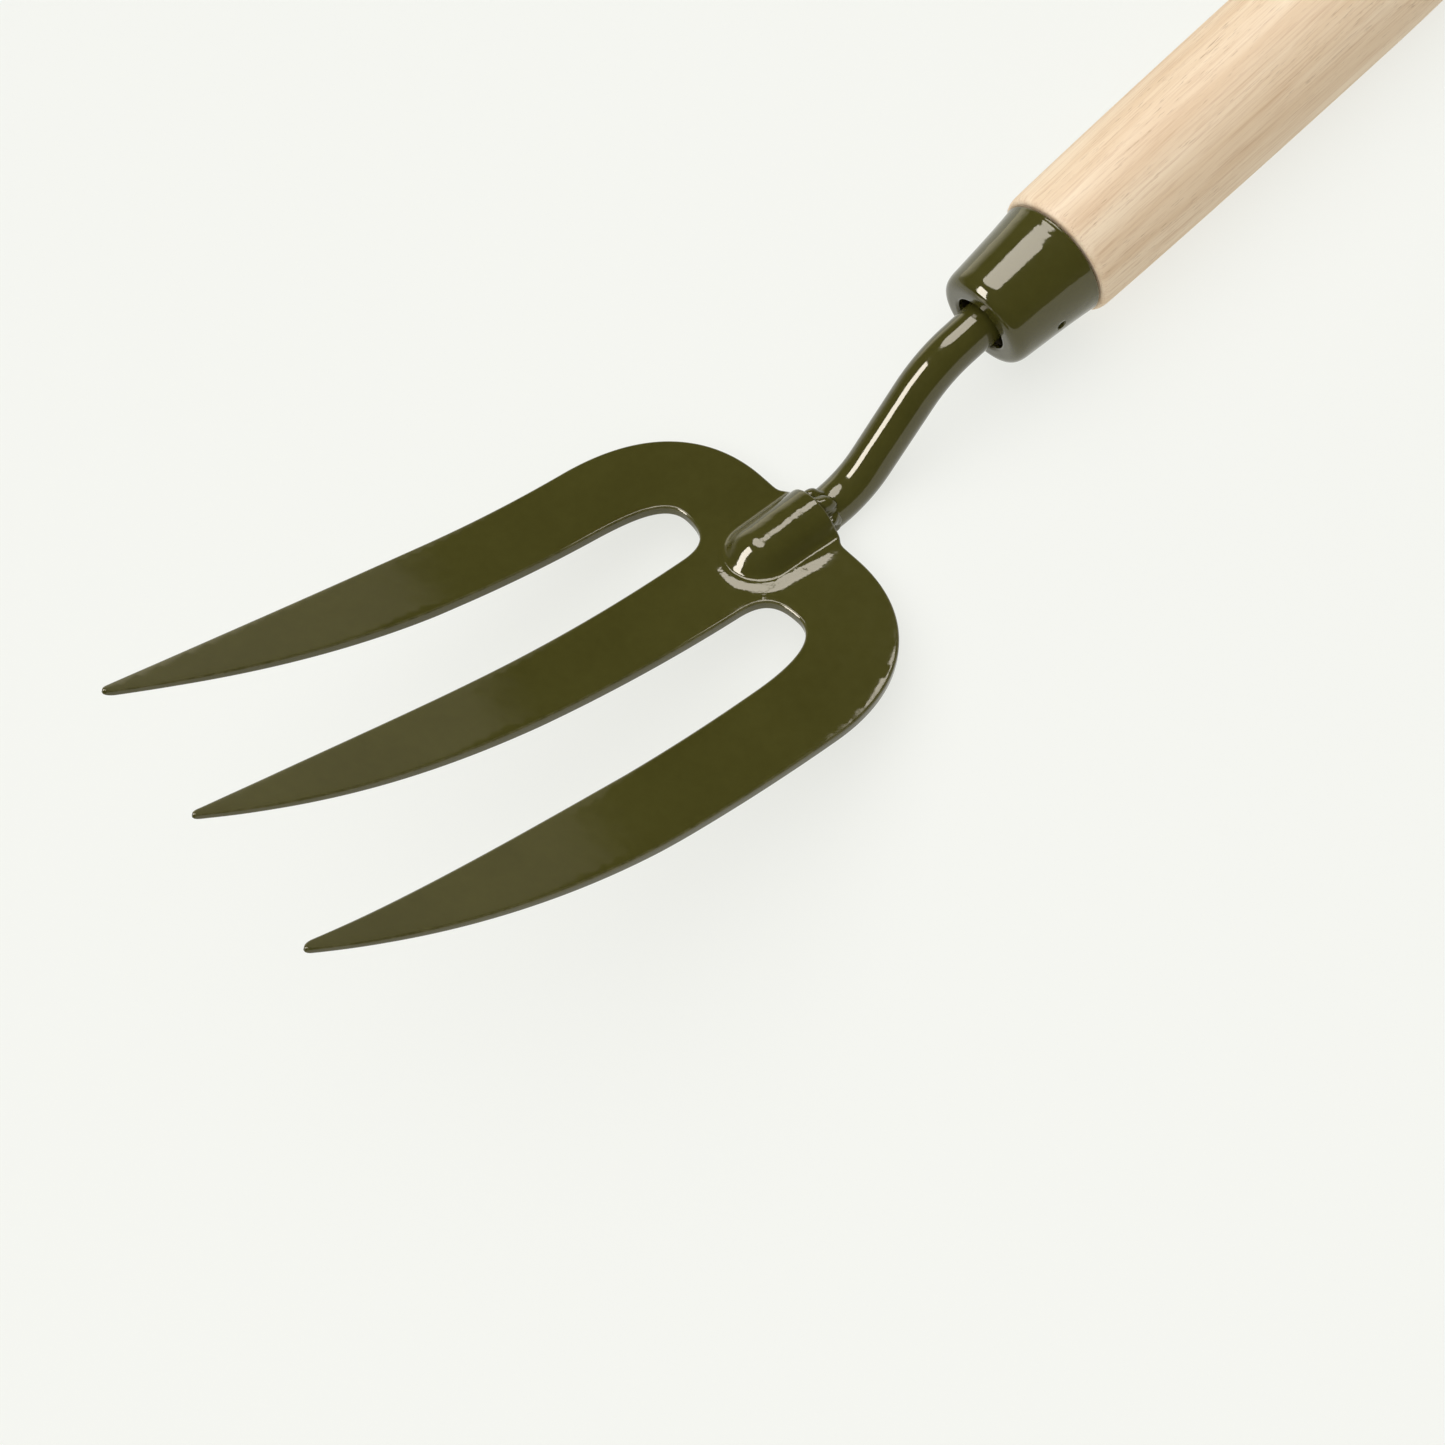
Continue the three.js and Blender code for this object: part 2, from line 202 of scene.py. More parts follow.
def mesh_object(name, vertices, faces, placed, smooth=True):
    """A mesh from vertices in millimetres in a local frame, moved into the row frame by a matrix."""
    data = bpy.data.meshes.new(name)
    data.from_pydata([tuple(v) for v in np.asarray(vertices, float) * MM], [], faces)
    data.validate()
    data.transform(placed)
    made = bmesh.new()
    made.from_mesh(data)
    bmesh.ops.recalc_face_normals(made, faces=made.faces)
    made.to_mesh(data)
    made.free()
    data.polygons.foreach_set("use_smooth", [smooth] * len(data.polygons))
    obj = bpy.data.objects.new(name, data)
    bpy.context.scene.collection.objects.link(obj)
    return obj


def point_value(obj, name, values):
    attribute = obj.data.attributes.new(name, "FLOAT", "POINT")
    attribute.data.foreach_set("value", np.asarray(values, np.float32))


def finish_piece(obj, material, slot, *nodes):
    obj.data.materials.append(material)
    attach(obj, "root")
    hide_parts(*nodes)


# ---- The bent plate ----


def smooth_max(a, b, width):
    share = np.clip(width - np.abs(a - b), 0, None) / width
    return np.maximum(a, b) + share * share * width / 4


def bend(s, depth):
    """(y, z) in the head's frame of a point of the flat blank, at some depth under its top face."""
    along = s + BEND_START
    angle = np.clip(along, 0, None) / BEND_RADIUS
    radius = BEND_RADIUS + depth
    y = BEND_START - np.clip(along, None, 0) - radius * np.sin(angle)
    return y, BEND_RADIUS - radius * np.cos(angle)


def unbend(y):
    inside = np.clip((BEND_START - y) / BEND_RADIUS, 0, 0.9)
    return np.where(y < BEND_START, np.arcsin(inside) * BEND_RADIUS - BEND_START, -y)


def thickness(s):
    return THICK + (TIP_THICK - THICK) * np.clip((s - THINNING_S) / (TIP - THINNING_S), 0, 1)


def from_boss(x, y):
    """How far a point is, seen from above, from the line that the boss follows."""
    return np.where(y > NOSE_Y, np.abs(x), np.hypot(x, y - NOSE_Y))


def round_top(distance, radius, steepest):
    """Height over the neck's axis of a round top that runs on straight once it is steep."""
    edge = radius * math.cos(steepest)
    height = np.sqrt(np.clip(radius**2 - np.clip(distance, None, edge) ** 2, 0, None))
    return height - np.clip(distance - edge, 0, None) / math.tan(steepest)


def lifts(x, s):
    """How far the boss, and the low skirt round it, raise the plate's top and its underside."""
    y, top = bend(s, 0.0)
    distance = from_boss(x, y)
    fade = np.clip((RIM_Y - 1 - y) / SKIRT_FADE, 0, 1)
    start = FOOT_RADIUS + FOOT_SPREAD * np.clip((y - NOSE_Y) / (RIM_Y - NOSE_Y), 0, 1)
    out = np.clip((distance - start) / SKIRT_WIDTH, 0, 1)
    skirt = SKIRT_HEIGHT * fade * (1 - out**2 * (3 - 2 * out))
    outer = ROD_Z + round_top(distance, BOSS_RADIUS, BOSS_STEEPEST)
    inner = ROD_Z + round_top(distance, CHANNEL_RADIUS, CHANNEL_STEEPEST)
    raised_top = smooth_max(top + skirt, outer, FILLET) - top
    under = top - THICK
    raised_under = smooth_max(under + skirt, inner, CHANNEL_FILLET) - under
    return raised_top, raised_under


def blank_outline():
    """The flat blank's outline as points (x, s), all the way round."""
    half = path(
        (0, -RIM_Y),
        [(6.8, -RIM_Y)],
        [(8.8, -RIM_Y), (8.6, BACK), (11, BACK)],
        [(15, BACK)],
        [(31, BACK), (HALF_WIDTH, -19), (HALF_WIDTH, 2)],
        [(HALF_WIDTH, 37)],
        [(HALF_WIDTH, 62), (40, 88), (33.9, 110.3)],
        [(33.5, 112.1), (32.1, 111.9), (31.8, 109.5)],
        [(30.2, 90), (27.2, 66), (26.8, 40)],
        [(25.7, 6)],
        [(25.2, -5), (23, SLOT_END), (17.5, SLOT_END)],
        [(12, SLOT_END), (9.2, -9), (8.9, -3)],
        [(7.6, 44)],
        [(7, 66), (6, 86), (1, TIP - 2.1)],
        [(0.75, TIP - 0.3), (0.4, TIP), (0, TIP)],
    )
    half = resampled(half, OUTLINE_SPACING)
    other = half[1:-1][::-1] * [-1, 1]
    return np.concatenate([half, other])


def inward_normals(ring):
    tangent = np.roll(ring, -1, 0) - np.roll(ring, 1, 0)
    tangent /= np.linalg.norm(tangent, axis=1)[:, None]
    normal = np.stack([-tangent[:, 1], tangent[:, 0]], 1)
    following = np.roll(ring, -1, 0)
    area = 0.5 * np.sum(ring[:, 0] * following[:, 1] - following[:, 0] * ring[:, 1])
    return normal if area > 0 else -normal


def inside(points, ring):
    """Which points lie inside a closed ring."""
    a, b = ring, np.roll(ring, -1, 0)
    within = np.zeros(len(points), bool)
    for first in range(0, len(points), INSIDE_BATCH):
        batch = slice(first, first + INSIDE_BATCH)
        p = points[batch, None, :]
        crosses = (a[:, 1] > p[:, :, 1]) != (b[:, 1] > p[:, :, 1])
        rise = np.where(a[:, 1] == b[:, 1], 1.0, b[:, 1] - a[:, 1])
        at = a[:, 0] + (p[:, :, 1] - a[:, 1]) * (b[:, 0] - a[:, 0]) / rise
        within[batch] = (np.sum(crosses & (p[:, :, 0] < at), 1) % 2) == 1
    return within


def inner_points(ring):
    """Points (x, s) that fill the blank: a plain grid, and closer rows that follow the boss."""
    xs = np.arange(-44, 44.1, GRID_SPACING)
    grid_x, grid_s = np.meshgrid(xs, np.arange(-30, 113, GRID_SPACING))
    odd_row = np.arange(grid_x.shape[0])[:, None] % 2
    grid_x = grid_x + np.where(odd_row, GRID_SPACING / 2, 0.0)
    grid = np.stack([grid_x.ravel(), grid_s.ravel()], 1)
    y, _ = bend(grid[:, 1], 0.0)
    grid = grid[from_boss(grid[:, 0], y) > CLOSE_ZONE]
    along = np.arange(NOSE_Y, RIM_Y, CLOSE_SPACING)
    close = [(0.0, v) for v in along]
    for row in CLOSE_ROWS:
        close += [(side * row, v) for side in (-1, 1) for v in along]
        count = max(6, int(math.ceil(math.pi * row / CLOSE_SPACING)))
        for i in range(1, count):
            turn = math.pi * i / count
            close.append((row * math.cos(turn), NOSE_Y - row * math.sin(turn)))
    close = np.array(close)
    close[:, 1] = unbend(close[:, 1])
    points = np.concatenate([grid, close])
    points = points[inside(points, ring)]
    tree = kdtree.KDTree(len(ring))
    for i, p in enumerate(ring):
        tree.insert((p[0], p[1], 0), i)
    tree.balance()
    far = [tree.find((p[0], p[1], 0))[2] > RIM_MARGIN for p in points]
    return points[np.array(far)]


def fork_head(material):
    """The plate: rings for its rounded edges, and a filling that both its faces share."""
    outline = blank_outline()
    normals = inward_normals(outline)
    near_tip = np.clip((outline[:, 1] - TIP_EDGE_S) / TIP_EDGE_RUN, 0, 1)
    rounding = EDGE_ROUND - TIP_EDGE_LOSS * near_tip
    count = len(outline)
    rings, depths = [], []
    for level in EDGE_LEVELS:
        rings.append(outline + normals * (rounding * (1 - math.cos(level)))[:, None])
        depths.append(rounding * (1 - math.sin(level)))
    top_ring = rings[0]
    filling = inner_points(top_ring)
    flat = [Vector(p) for p in np.concatenate([top_ring, filling])]
    found = delaunay_2d_cdt(flat, [], [list(range(count))], 1, 1e-6)
    if len(found[0]) != len(flat):
        raise RuntimeError("the plate's filling lost or gained points")
    triangles = [tuple(t) for t in found[2]]
    blank = np.concatenate(rings + [filling])
    depth = np.concatenate(depths + [np.zeros(len(filling))])
    over, under = lifts(blank[:, 0], blank[:, 1])
    layers = []
    for is_top in (True, False):
        y, z = bend(blank[:, 1], depth if is_top else thickness(blank[:, 1]) - depth)
        layers.append(np.stack([blank[:, 0], y, z + (over if is_top else under)], 1))
    vertices = np.concatenate(layers)
    lower = len(blank)
    first_filling = count * len(EDGE_LEVELS)
    place = list(range(count)) + list(range(first_filling, first_filling + len(filling)))
    faces = [tuple(place[i] for i in t) for t in triangles]
    faces += [tuple(place[i] + lower for i in reversed(t)) for t in triangles]
    for base in (0, lower):
        for level in range(len(EDGE_LEVELS) - 1):
            a, b = base + level * count, base + (level + 1) * count
            for i in range(count):
                j = (i + 1) % count
                face = (a + i, a + j, b + j, b + i)
                faces.append(face if base == 0 else (face[1], face[0], face[3], face[2]))
    last = (len(EDGE_LEVELS) - 1) * count
    for i in range(count):
        j = (i + 1) % count
        faces.append((last + i, last + j, lower + last + j, lower + last + i))
    obj = mesh_object("head_plate", vertices, faces, TO_ROW)
    # A mask for the rounded edges: the paint is partly worn pale there, and partly a painted highlight
    # stands in for the gleam on the rounding.
    edge_wear_and_highlight = [np.full(count, math.sin(math.pi - 2 * level)) for level in EDGE_LEVELS]
    edge = np.concatenate(edge_wear_and_highlight + [np.zeros(len(filling))])
    point_value(obj, "edge", np.concatenate([edge, edge]))
    blank_y, _ = bend(blank[:, 1], 0.0)
    near = np.clip(2.1 - from_boss(blank[:, 0], blank_y) / 8, 0, 1)
    point_value(obj, "thick", np.concatenate([near, near]))
    finish_piece(obj, material, "olive_enamel", "fork_head")


# ---- The neck ----


def neck_stations():
    """[y, z, slope, radius] along the neck's axis, and the place of the ferrule's mouth."""
    stations = [[NOSE_Y - 0.4, ROD_Z, 0.0, ROD_RADIUS - 0.6], [NOSE_Y, ROD_Z, 0.0, ROD_RADIUS]]
    y, z = FIRST_BEND_Y, ROD_Z

    def turn(radius, start, end):
        nonlocal y, z
        side = 1 if end > start else -1
        centre_y = y - side * radius * math.sin(start)
        centre_z = z + side * radius * math.cos(start)
        for i in range(1, BEND_STEPS + 1):
            slope = start + (end - start) * i / BEND_STEPS
            y = centre_y + side * radius * math.sin(slope)
            z = centre_z - side * radius * math.cos(slope)
            stations.append([y, z, slope, ROD_RADIUS])

    def run(length, radius, steps):
        nonlocal y, z
        slope, before = stations[-1][2], stations[-1][3]
        for i in range(1, steps + 1):
            share = i / steps
            here = y + length * share * math.cos(slope)
            height = z + length * share * math.sin(slope)
            stations.append([here, height, slope, before + (radius - before) * share])
        y, z = stations[-1][0], stations[-1][1]

    for share in np.linspace(0, 1, 13)[1:]:
        stations.append([NOSE_Y + (FIRST_BEND_Y - NOSE_Y) * share, ROD_Z, 0.0, ROD_RADIUS])
    turn(FIRST_BEND_RADIUS, 0.0, NECK_SLOPE)
    run(NECK_LENGTH, ROD_RADIUS, 12)
    turn(SECOND_BEND_RADIUS, NECK_SLOPE, HANDLE_SLOPE)
    run(ROD_TO_MOUTH, ROD_RADIUS, 20)
    mouth = (y, z)
    run(TANG_TAPER, ROD_RADIUS, 4)
    run(TANG_END - TANG_TAPER, TANG_END_RADIUS, 8)
    return stations, mouth


STATIONS, MOUTH = neck_stations()
HANDLE_TO_ROW = (
    TO_ROW
    @ Matrix.Translation(Vector((0, MOUTH[0], MOUTH[1])) * MM)
    @ Matrix.Rotation(HANDLE_SLOPE, 4, "X")
)


def skin(rings, closed_ends=True):
    """Vertices and faces of a tube through rings of equally many points."""
    count = len(rings[0])
    faces = []
    for k in range(len(rings) - 1):
        a, b = k * count, (k + 1) * count
        faces += [(a + i, a + (i + 1) % count, b + (i + 1) % count, b + i) for i in range(count)]
    if closed_ends:
        faces.append(tuple(range(count)))
        last = (len(rings) - 1) * count
        faces.append(tuple(last + i for i in reversed(range(count))))
    return np.concatenate(rings), faces


def neck_rod(material):
    turns = np.linspace(0, 2 * math.pi, ROD_SIDES, endpoint=False)
    rings = []
    for y, z, slope, radius in STATIONS:
        up = radius * np.cos(turns)
        ys, zs = y - up * math.sin(slope), z + up * math.cos(slope)
        rings.append(np.stack([radius * np.sin(turns), ys, zs], 1))
    obj = mesh_object("neck_bar", *skin(rings), TO_ROW)
    thick = [0.25 + 0.9 * max(0.0, 1 - abs(station[0] - RIM_Y) / 16) for station in STATIONS]
    point_value(obj, "thick", np.repeat(thick, len(turns)))
    finish_piece(obj, material, "olive_enamel", "neck_rod")


# ---- Welds ----


def weld_over_neck(material):
    """The lumpy bead that fills the step from the boss's rim down to the neck, thick with paint."""
    around = np.linspace(-TOP_WELD_END, TOP_WELD_END, 220)
    across = np.linspace(0, 2 * math.pi, 56, endpoint=False)
    rings = []
    for a in around:
        fade = max(0.0, math.cos(a / TOP_WELD_END * math.pi / 2)) ** 0.4
        pit = math.exp(-(((a - PIT_ANGLE) / PIT_WIDTH) ** 2))
        ring = []
        for c in across:
            lobe = abs(math.sin(4.1 * a + 0.55 * math.cos(c) + 0.6)) ** 0.7
            lump = noise.noise(Vector((a * 1.7, 0.9 * math.cos(c), 0.9 * math.sin(c) + 4.1)))
            height = TOP_WELD_HEIGHT * fade * (0.62 + 0.42 * lobe + 0.45 * lump) * (1 - 0.75 * pit)
            length = TOP_WELD_LENGTH * (0.5 + 0.5 * fade) * (0.85 + 0.2 * lobe + 0.3 * lump)
            out = math.sin(c)
            radius = ROD_RADIUS - 0.25 + height * (out if out > 0 else 0.3 * out)
            y = RIM_Y + 0.7 - length * math.cos(c) * (0.9 if math.cos(c) > 0 else 1.45)
            ring.append((radius * math.sin(a), y, ROD_Z + radius * math.cos(a)))
        rings.append(np.array(ring))
    obj = mesh_object("weld_over_neck", *skin(rings), TO_ROW)
    point_value(obj, "thick", np.full(len(obj.data.vertices), 1.3))
    finish_piece(obj, material, "olive_enamel", "weld_top")


def weld_beside_neck(material, side, name, node):
    """A rippled fillet in the corner between the plate's underside and the neck."""
    along = np.linspace(*SIDE_WELD_SPAN, 70)
    across = np.linspace(0, 2 * math.pi, 28, endpoint=False)
    rings = []
    for y in along:
        share = (y - along[0]) / (along[-1] - along[0])
        fade = max(0.02, math.sin(math.pi * share)) ** 0.3
        swell = 1 + 0.16 * math.sin(y * 3.6 + side) + 0.2 * noise.noise(Vector((y * 0.5, side, 3)))
        radius = SIDE_WELD_RADIUS * fade * swell
        _, top = bend(-y, 0.0)
        x, z = side * CHANNEL_RADIUS, top - THICK - 0.35
        ring = [(x + 1.15 * radius * math.cos(c), y, z + radius * math.sin(c)) for c in across]
        rings.append(np.array(ring))
    obj = mesh_object(name, *skin(rings), TO_ROW)
    finish_piece(obj, material, "olive_enamel", node)


# ---- Turned pieces ----


def turned(name, profile, placed, sides, closed):
    """A turned piece from (radius, h) points. It starts and ends on the axis, or closes on itself."""
    profile = np.asarray(profile, float)
    turns = np.linspace(0, 2 * math.pi, sides, endpoint=False)
    vertices, index = [], []
    for radius, h in profile:
        if radius < 1e-6:
            index.append([len(vertices)] * sides)
            vertices.append((0, h, 0))
        else:
            index.append(list(range(len(vertices), len(vertices) + sides)))
            vertices += [(radius * math.sin(t), h, radius * math.cos(t)) for t in turns]
    faces = []
    pairs = list(zip(index, index[1:] + ([index[0]] if closed else [])))
    for a, b in pairs[: len(profile) if closed else len(profile) - 1]:
        for i in range(sides):
            j = (i + 1) % sides
            corners = []
            for corner in (a[i], a[j], b[j], b[i]):
                if corner not in corners:
                    corners.append(corner)
            faces.append(tuple(corners))
    return mesh_object(name, vertices, faces, placed)


def cut_with(obj, cutter):
    """obj less the cutter, which is then removed."""
    modifier = obj.modifiers.new("cut", "BOOLEAN")
    modifier.operation = "DIFFERENCE"
    modifier.solver = "EXACT"
    modifier.object = cutter
    bpy.context.view_layer.update()
    evaluated = obj.evaluated_get(bpy.context.evaluated_depsgraph_get())
    cut = bpy.data.meshes.new_from_object(evaluated)
    obj.modifiers.clear()
    obj.data = cut
    bpy.data.objects.remove(cutter)


def pin_frame(out):
    """The place of a piece drawn along Y, set in the pin's direction some way from the axis."""
    direction = Vector((math.cos(PIN_ANGLE), 0, -math.sin(PIN_ANGLE)))
    turn = direction.to_track_quat("Y", "X").to_matrix().to_4x4()
    return HANDLE_TO_ROW @ Matrix.Translation((Vector((0, PIN_H, 0)) + direction * out) * MM) @ turn


def ferrule(material):
    profile = path(
        (HOLE_RADIUS, FERRULE_END + 1.3),
        [(HOLE_RADIUS, FERRULE_END + 0.75)],
        [(HOLE_RADIUS + 0.05, FERRULE_END), (HOLE_RADIUS + 0.7, FERRULE_END)],
        [(8.4, FERRULE_END + 0.02)],
        [(10.5, FERRULE_END + 0.1), (11.05, FERRULE_END + 1.3), (11.28, FERRULE_END + 3.2)],
        [(11.85, -11), (12.35, -5.5), (13.0, -0.75)],
        [(13.2, -0.3), (13.15, 0.0), (12.85, 0.0)],
        [(12.5, 0.0)],
        [(12.2, 0.0), (12.05, -0.2), (12.0, -0.5)],
        [(11.1, -6.0), (10.5, -12), (10.1, FERRULE_END + 3.4)],
        [(9.9, FERRULE_END + 1.9), (9.4, FERRULE_END + 1.3), (8.3, FERRULE_END + 1.3)],
    )
    profile = resampled(profile, 0.3)
    obj = turned("ferrule_cup", profile, HANDLE_TO_ROW, 168, True)
    hole = [(0, -3), (PIN_HOLE, -3), (PIN_HOLE, 0.9), (PIN_SINK, 1.25), (PIN_SINK, 6), (0, 6)]
    cut_with(obj, turned("pin_cutter", hole, pin_frame(11.2), 40, False))
    from_row = HANDLE_TO_ROW.inverted()
    heights = np.array([(from_row @ v.co).y / MM for v in obj.data.vertices])
    point_value(obj, "thick", 0.25 + 0.9 * np.clip((heights + 5) / 4, 0, 1))
    finish_piece(obj, material, "olive_enamel", "ferrule")


def handle(material):
    profile = path(
        (0, TANG_END + 0.3),
        [(2.5, TANG_END + 0.3)],
        [(5.0, TANG_TAPER)],
        [(5.0, -15.5)],
        [(9.6, -15.5)],
        [(11.6, -0.6)],
        [(11.7, 0.35)],
        [(12.9, 0.35)],
        [(13.75, 0.35), (14.1, 0.9), (14.2, 2.4)],
        [(14.75, 22), (15.1, 55), (15.1, 85)],
        [(15.1, 95), (14.9, 104), (14.4, 110)],
        [(13.6, 119), (10.5, BUTT), (6, BUTT)],
        [(0, BUTT)],
    )
    obj = turned("turned_handle", profile, HANDLE_TO_ROW, 160, False)
    hole = [(0, -4), (PIN_BORE, -4), (PIN_BORE, 8), (0, 8)]
    cut_with(obj, turned("pin_cutter", hole, pin_frame(7.0), 24, False))
    finish_piece(obj, material, "handle_wood", "handle")


def cross_pin(material):
    profile = path(
        (0, -17.8),
        [(0.45, -17.8)],
        [(0.62, -17.3)],
        [(0.65, -0.7)],
        [(0.80, -0.65), (0.80, -0.2), (0.62, -0.08)],
        [(0.3, 0.0), (0, 0)],
    )
    obj = turned("nail", profile, pin_frame(10.9), 32, False)
    finish_piece(obj, material, "pin_steel", "cross_pin")


# ---- Materials ----


class Nodes:
    """Short names for making one material's nodes."""

    def __init__(self, name):
        self.material = bpy.data.materials.new(name)
        self.material.use_nodes = True
        self.tree = self.material.node_tree
        self.shader = self.tree.nodes["Principled BSDF"]

    def link(self, source, target):
        self.tree.links.new(source, target)

    def feed(self, socket, value):
        """Links another node's output to a socket, or sets it to a constant."""
        if isinstance(value, bpy.types.NodeSocket):
            self.link(value, socket)
        else:
            socket.default_value = value

    def put(self, kind, settings=None, **inputs):
        """A new node. An input is named by its label, or as i0, i1 and so on by its place."""
        node = self.tree.nodes.new(kind)
        for key, value in (settings or {}).items():
            setattr(node, key, value)
        for key, value in inputs.items():
            by_place = key[0] == "i" and key[1:].isdigit()
            self.feed(node.inputs[int(key[1:]) if by_place else key], value)
        return node

    def attribute(self, name):
        return self.put("ShaderNodeAttribute", {"attribute_name": name}).outputs["Fac"]

    def set_shader(self, **inputs):
        """Feeds the shader's inputs, with an underscore for each space in a label."""
        for key, value in inputs.items():
            self.feed(self.shader.inputs[key.replace("_", " ")], value)

    def coordinates(self, scale, turn=0.0):
        """Object coordinates turned about X, in millimetres over the scale given for each axis."""
        at = self.put("ShaderNodeTexCoord").outputs["Object"]
        if turn:
            at = self.put("ShaderNodeMapping", i0=at, Rotation=(turn, 0, 0)).outputs[0]
        factors = [1 / (s * MM) for s in scale]
        return self.put("ShaderNodeMapping", i0=at, Scale=factors).outputs[0]

    def noise(self, vector, scale=1.0, detail=3.0, roughness=0.5, distortion=0.0):
        node = self.put(
            "ShaderNodeTexNoise",
            Vector=vector,
            Scale=scale,
            Detail=detail,
            Roughness=roughness,
            Distortion=distortion,
        )
        return node.outputs["Fac"]

    def ranged(self, value, low, high, to_low=0.0, to_high=1.0):
        node = self.put("ShaderNodeMapRange", i0=value, i1=low, i2=high, i3=to_low, i4=to_high)
        return node.outputs[0]

    def maths(self, operation, a, b):
        return self.put("ShaderNodeMath", {"operation": operation}, i0=a, i1=b).outputs[0]

    def mix(self, share, a, b):
        node = self.tree.nodes.new("ShaderNodeMix")
        node.data_type = "RGBA"
        for place, value in ((0, share), (6, a), (7, b)):
            self.feed(node.inputs[place], value)
        return node.outputs[2]

    def bump(self, height, distance, normal=None, strength=1.0):
        """A bump of some distance in millimetres, on top of another."""
        node = self.put("ShaderNodeBump", Height=height, Distance=distance * MM, Strength=strength)
        if normal is not None:
            self.link(normal, node.inputs["Normal"])
        return node.outputs[0]


def rgb(r, g, b):
    return (r, g, b, 1.0)


def enamel():
    """Thick olive enamel: faint tone changes, orange peel, runs, dust specks, and pale edges that are
    partly wear and partly a painted highlight.
    """
    n = Nodes("olive_enamel")
    at = n.coordinates((1, 1, 1))
    broad = n.noise(at, scale=0.05, detail=3)
    cloudy = n.noise(at, scale=0.45, detail=5, roughness=0.62)
    both = n.maths("ADD", n.maths("MULTIPLY", broad, 0.6), n.maths("MULTIPLY", cloudy, 0.4))
    colour = n.mix(n.ranged(both, 0.35, 0.66), rgb(0.054, 0.0495, 0.0090), rgb(0.064, 0.0590, 0.0118))
    cells = n.put("ShaderNodeTexVoronoi", Vector=at, Scale=0.16)
    lone = n.ranged(n.put("ShaderNodeSeparateColor", i0=cells.outputs["Color"]).outputs[0], 0.80, 0.82)
    speck = n.maths("MULTIPLY", n.ranged(cells.outputs["Distance"], 0.030, 0.012), lone)
    colour = n.mix(n.maths("MULTIPLY", speck, 0.35), colour, rgb(0.30, 0.28, 0.20))
    # Lightens the rounded edges towards pale cream. This is partly worn paint and partly a painted
    # highlight.
    pale_edge_wear_and_highlight = n.maths("MULTIPLY", n.attribute("edge"), n.ranged(cloudy, 0.35, 0.6, 0.05, 0.16))
    colour = n.mix(pale_edge_wear_and_highlight, colour, rgb(0.30, 0.27, 0.17))
    runs = n.noise(at, scale=0.14, detail=1)
    peel = n.noise(at, scale=0.42, detail=2, roughness=0.4)
    lumps = n.noise(at, scale=0.20, detail=3, roughness=0.5)
    normal = n.bump(runs, 0.04)
    normal = n.bump(peel, 0.012, normal)
    normal = n.bump(n.maths("MULTIPLY", lumps, n.attribute("thick")), 0.16, normal)
    normal = n.bump(speck, 0.05, normal)
    n.set_shader(Base_Color=colour, Roughness=n.ranged(cloudy, 0.3, 0.7, 0.05, 0.10), Normal=normal)
    n.set_shader(IOR=1.62, Specular_Tint=rgb(1.0, 0.93, 0.82))
    return n.material


def wood():
    """Pale turned hardwood: soft bands and fine lines along the grain, faint pores, a dry surface."""
    n = Nodes("handle_wood")

    def grain(stretch, **settings):
        return n.noise(n.coordinates((1, stretch, 1), HANDLE_TURN), **settings)

    bands = grain(24, scale=0.30, detail=4, roughness=0.6, distortion=0.3)
    colour = n.mix(n.ranged(bands, 0.32, 0.68), rgb(0.775, 0.575, 0.375), rgb(0.885, 0.715, 0.515))
    broad = grain(6, scale=0.05, detail=2)
    colour = n.mix(n.ranged(broad, 0.4, 0.75, 0.0, 0.3), colour, rgb(0.91, 0.77, 0.58))
    fine = grain(34, scale=2.1, detail=3, roughness=0.65)
    colour = n.mix(n.ranged(fine, 0.48, 0.70, 0.0, 0.52), colour, rgb(0.62, 0.40, 0.24))
    pores = grain(14, scale=3.4, detail=2.0, roughness=0.6)
    patchy = n.ranged(grain(8, scale=0.16, detail=2), 0.38, 0.62)
    pore = n.maths("MULTIPLY", n.ranged(pores, 0.61, 0.70), patchy)
    colour = n.mix(n.maths("MULTIPLY", pore, 0.55), colour, rgb(0.40, 0.225, 0.12))
    normal = n.bump(fine, 0.05)
    normal = n.bump(pore, 0.06, normal, strength=-1.0)
    n.set_shader(Base_Color=colour, Roughness=n.ranged(fine, 0.3, 0.7, 0.50, 0.66), Normal=normal)
    n.set_shader(Specular_IOR_Level=0.35)
    return n.material


def steel():
    """The pin's dull dark wire."""
    n = Nodes("pin_steel")
    cloudy = n.noise(n.coordinates((1, 1, 1)), scale=3.0, detail=4)
    colour = n.mix(n.ranged(cloudy, 0.35, 0.65), rgb(0.035, 0.032, 0.028), rgb(0.11, 0.10, 0.085))
    n.set_shader(Base_Color=colour, Roughness=n.ranged(cloudy, 0.3, 0.7, 0.35, 0.6))
    n.set_shader(Normal=n.bump(cloudy, 0.03), Metallic=0.85)
    return n.material


def floor_material():
    """Pale and nearly shadowless: a weak diffuse colour over an even glow."""
    n = Nodes("pale_floor")
    cloudy = n.noise(n.coordinates((1, 1, 1)), scale=0.004, detail=2)
    n.set_shader(Base_Color=n.mix(cloudy, rgb(0.178, 0.180, 0.172), rgb(0.182, 0.184, 0.176)))
    n.set_shader(Emission_Color=rgb(1.0, 1.009, 0.962), Emission_Strength=0.72)
    n.set_shader(Roughness=0.9, Specular_IOR_Level=0.0)
    return n.material


def backdrop_material():
    n = Nodes("pale_backdrop")
    cloudy = n.noise(n.coordinates((1, 1, 1)), scale=0.001, detail=2)
    n.set_shader(Base_Color=rgb(0, 0, 0), Specular_IOR_Level=0.0)
    n.set_shader(Emission_Color=n.mix(cloudy, rgb(0.88, 0.885, 0.86), rgb(0.90, 0.905, 0.88)))
    n.set_shader(Emission_Strength=1.0)
    return n.material


# ---- Stage ----


